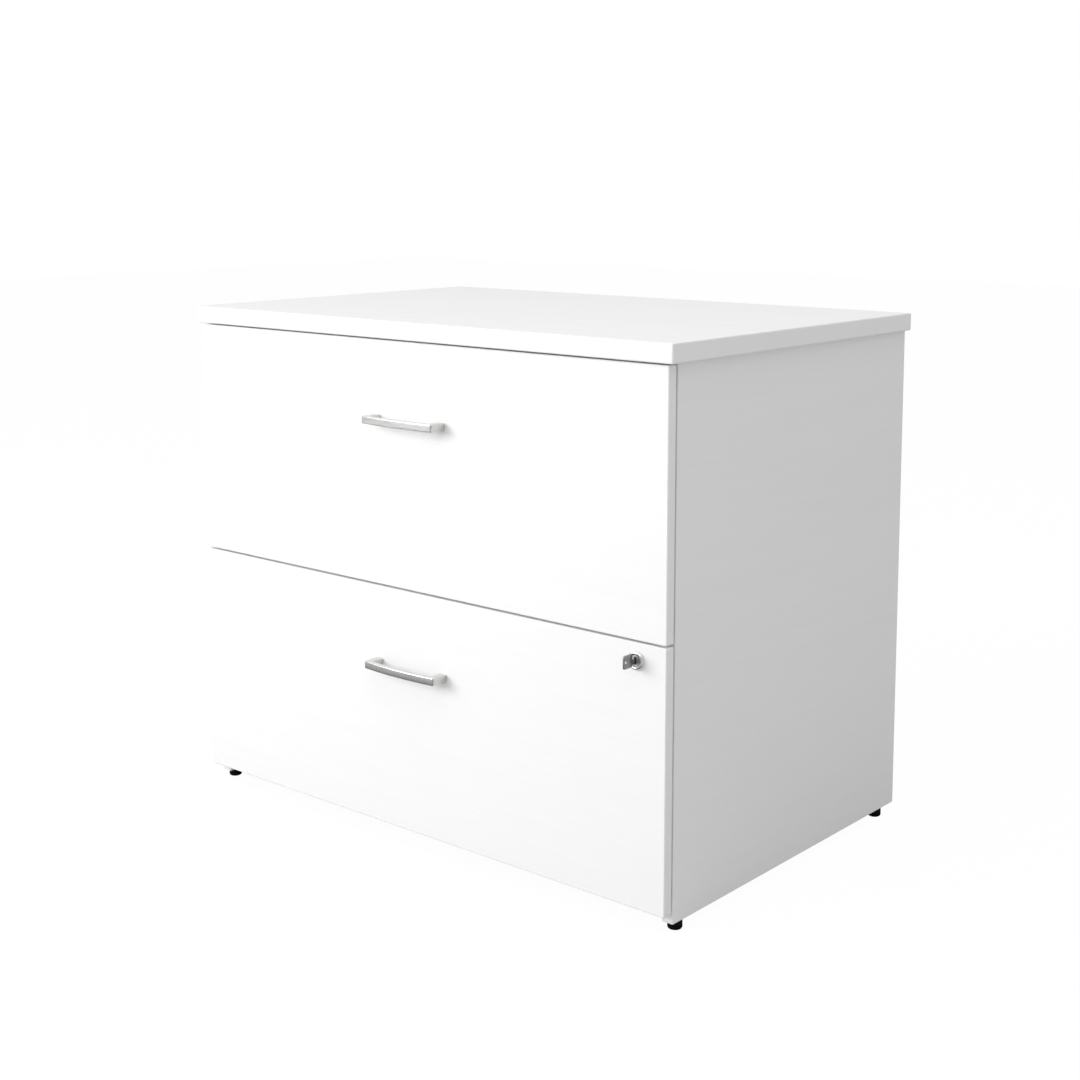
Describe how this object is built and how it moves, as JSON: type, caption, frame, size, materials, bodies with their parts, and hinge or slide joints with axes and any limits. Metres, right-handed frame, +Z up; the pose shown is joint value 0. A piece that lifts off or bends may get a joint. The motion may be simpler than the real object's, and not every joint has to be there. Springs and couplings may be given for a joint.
{
  "type": "lateral filing cabinet",
  "caption": "Low lateral filing cabinet of white laminated board: wide drawers on telescopic ball slides, bow handles, hanging file rails, a cam lock with its key and levelling feet",
  "frame": {"origin": "on the floor, under the centre of the whole object with its handles", "axes": "+X to the right seen from the front, +Y to the back so the drawers open towards -Y, +Z up"},
  "size_m": [0.907, 0.6188, 0.758],
  "materials": {
    "white_laminate": "white melamine laminate on particle board, satin",
    "box_laminate": "off-white laminate on thin particle board, matt",
    "white_hardboard": "white-faced fibreboard, matt",
    "black_plastic": "black moulded plastic",
    "rail_steel": "dark powder coat on flat steel bar",
    "satin_nickel": "satin nickel plate",
    "zinc_steel": "bright zinc plate on rolled steel",
    "ball_steel": "polished steel balls in a plain steel retainer",
    "lock_chrome": "polished chrome plate",
    "plug_steel": "dull nickel on die-cast zinc",
    "key_steel": "nickel plate on stamped brass"
  },
  "bodies": {
    "case": {"top_panel": "white_laminate", "left_side_panel": "white_laminate", "right_side_panel": "white_laminate", "bottom_panel": "white_laminate", "back_panel": "white_hardboard", "front_top_rail": "white_laminate", "rear_top_rail": "white_laminate", "middle_rail": "white_laminate", "upper_left_cabinet_member": "zinc_steel", "upper_right_cabinet_member": "zinc_steel", "lower_left_cabinet_member": "zinc_steel", "lower_right_cabinet_member": "zinc_steel"},
    "front_left_foot": {"front_left_foot": "black_plastic"},
    "front_right_foot": {"front_right_foot": "black_plastic"},
    "rear_left_foot": {"rear_left_foot": "black_plastic"},
    "rear_right_foot": {"rear_right_foot": "black_plastic"},
    "upper_drawer": {"upper_drawer_front": "white_laminate", "upper_box_front": "box_laminate", "upper_box_left_side": "box_laminate", "upper_box_right_side": "box_laminate", "upper_box_back": "box_laminate", "upper_box_bottom": "white_hardboard", "upper_front_file_rail": "rail_steel", "upper_handle": "satin_nickel", "upper_handle_left_screw": "zinc_steel", "upper_handle_right_screw": "zinc_steel", "upper_left_drawer_member": "zinc_steel", "upper_right_drawer_member": "zinc_steel"},
    "upper_middle_members": {"upper_left_middle_member": "zinc_steel", "upper_right_middle_member": "zinc_steel"},
    "upper_outer_retainers": {"upper_left_outer_ball_retainer": "ball_steel", "upper_right_outer_ball_retainer": "ball_steel"},
    "upper_inner_retainers": {"upper_left_inner_ball_retainer": "ball_steel", "upper_right_inner_ball_retainer": "ball_steel"},
    "upper_rear_rail": {"upper_rear_file_rail": "rail_steel"},
    "lower_drawer": {"lower_drawer_front": "white_laminate", "lower_box_front": "box_laminate", "lower_box_left_side": "box_laminate", "lower_box_right_side": "box_laminate", "lower_box_back": "box_laminate", "lower_box_bottom": "white_hardboard", "lower_front_file_rail": "rail_steel", "lower_handle": "satin_nickel", "lower_handle_left_screw": "zinc_steel", "lower_handle_right_screw": "zinc_steel", "lower_left_drawer_member": "zinc_steel", "lower_right_drawer_member": "zinc_steel", "lock_housing": "lock_chrome", "lock_nut": "zinc_steel"},
    "lower_middle_members": {"lower_left_middle_member": "zinc_steel", "lower_right_middle_member": "zinc_steel"},
    "lower_outer_retainers": {"lower_left_outer_ball_retainer": "ball_steel", "lower_right_outer_ball_retainer": "ball_steel"},
    "lower_inner_retainers": {"lower_left_inner_ball_retainer": "ball_steel", "lower_right_inner_ball_retainer": "ball_steel"},
    "lower_rear_rail": {"lower_rear_file_rail": "rail_steel"},
    "lock_plug": {"lock_plug": "plug_steel", "lock_cam": "zinc_steel", "lock_cam_screw": "zinc_steel"},
    "key": {"lock_key": "key_steel"}
  },
  "joints": [
    {"name": "upper_drawer_slide", "type": "slide", "parent": "case", "child": "upper_drawer", "axis": [0, -1, 0], "range_m": [0, 0.5]},
    {"name": "upper_middle_member_slide", "type": "slide", "parent": "case", "child": "upper_middle_members", "axis": [0, -1, 0], "range_m": [0, 0.25]},
    {"name": "upper_outer_ball_roll", "type": "slide", "parent": "case", "child": "upper_outer_retainers", "axis": [0, -1, 0], "range_m": [0, 0.125]},
    {"name": "upper_inner_ball_roll", "type": "slide", "parent": "case", "child": "upper_inner_retainers", "axis": [0, -1, 0], "range_m": [0, 0.375]},
    {"name": "upper_rear_rail_shift", "type": "slide", "parent": "upper_drawer", "child": "upper_rear_rail", "axis": [0, 1, 0], "range_m": [0, 0.078]},
    {"name": "lower_drawer_slide", "type": "slide", "parent": "case", "child": "lower_drawer", "axis": [0, -1, 0], "range_m": [0, 0.5]},
    {"name": "lower_middle_member_slide", "type": "slide", "parent": "case", "child": "lower_middle_members", "axis": [0, -1, 0], "range_m": [0, 0.25]},
    {"name": "lower_outer_ball_roll", "type": "slide", "parent": "case", "child": "lower_outer_retainers", "axis": [0, -1, 0], "range_m": [0, 0.125]},
    {"name": "lower_inner_ball_roll", "type": "slide", "parent": "case", "child": "lower_inner_retainers", "axis": [0, -1, 0], "range_m": [0, 0.375]},
    {"name": "lower_rear_rail_shift", "type": "slide", "parent": "lower_drawer", "child": "lower_rear_rail", "axis": [0, 1, 0], "range_m": [0, 0.078]},
    {"name": "lock_turn", "type": "hinge", "parent": "lower_drawer", "child": "lock_plug", "pos_m": [0.3988, -0.27935, 0.3546], "axis": [0, 1, 0], "range_deg": [0, 90]},
    {"name": "key_withdraw", "type": "slide", "parent": "lock_plug", "child": "key", "axis": [0, -1, 0], "range_m": [0, 0.026]},
    {"name": "front_left_foot_level", "type": "slide", "parent": "case", "child": "front_left_foot", "axis": [0, 0, -1], "range_m": [0, 0.012]},
    {"name": "front_right_foot_level", "type": "slide", "parent": "case", "child": "front_right_foot", "axis": [0, 0, -1], "range_m": [0, 0.012]},
    {"name": "rear_left_foot_level", "type": "slide", "parent": "case", "child": "rear_left_foot", "axis": [0, 0, -1], "range_m": [0, 0.012]},
    {"name": "rear_right_foot_level", "type": "slide", "parent": "case", "child": "rear_right_foot", "axis": [0, 0, -1], "range_m": [0, 0.012]}
  ],
  "couplings": [
    {"joint": "upper_middle_member_slide", "follows": "upper_drawer_slide", "ratio": 0.5},
    {"joint": "upper_outer_ball_roll", "follows": "upper_drawer_slide", "ratio": 0.25},
    {"joint": "upper_inner_ball_roll", "follows": "upper_drawer_slide", "ratio": 0.75},
    {"joint": "lower_middle_member_slide", "follows": "lower_drawer_slide", "ratio": 0.5},
    {"joint": "lower_outer_ball_roll", "follows": "lower_drawer_slide", "ratio": 0.25},
    {"joint": "lower_inner_ball_roll", "follows": "lower_drawer_slide", "ratio": 0.75}
  ]
}
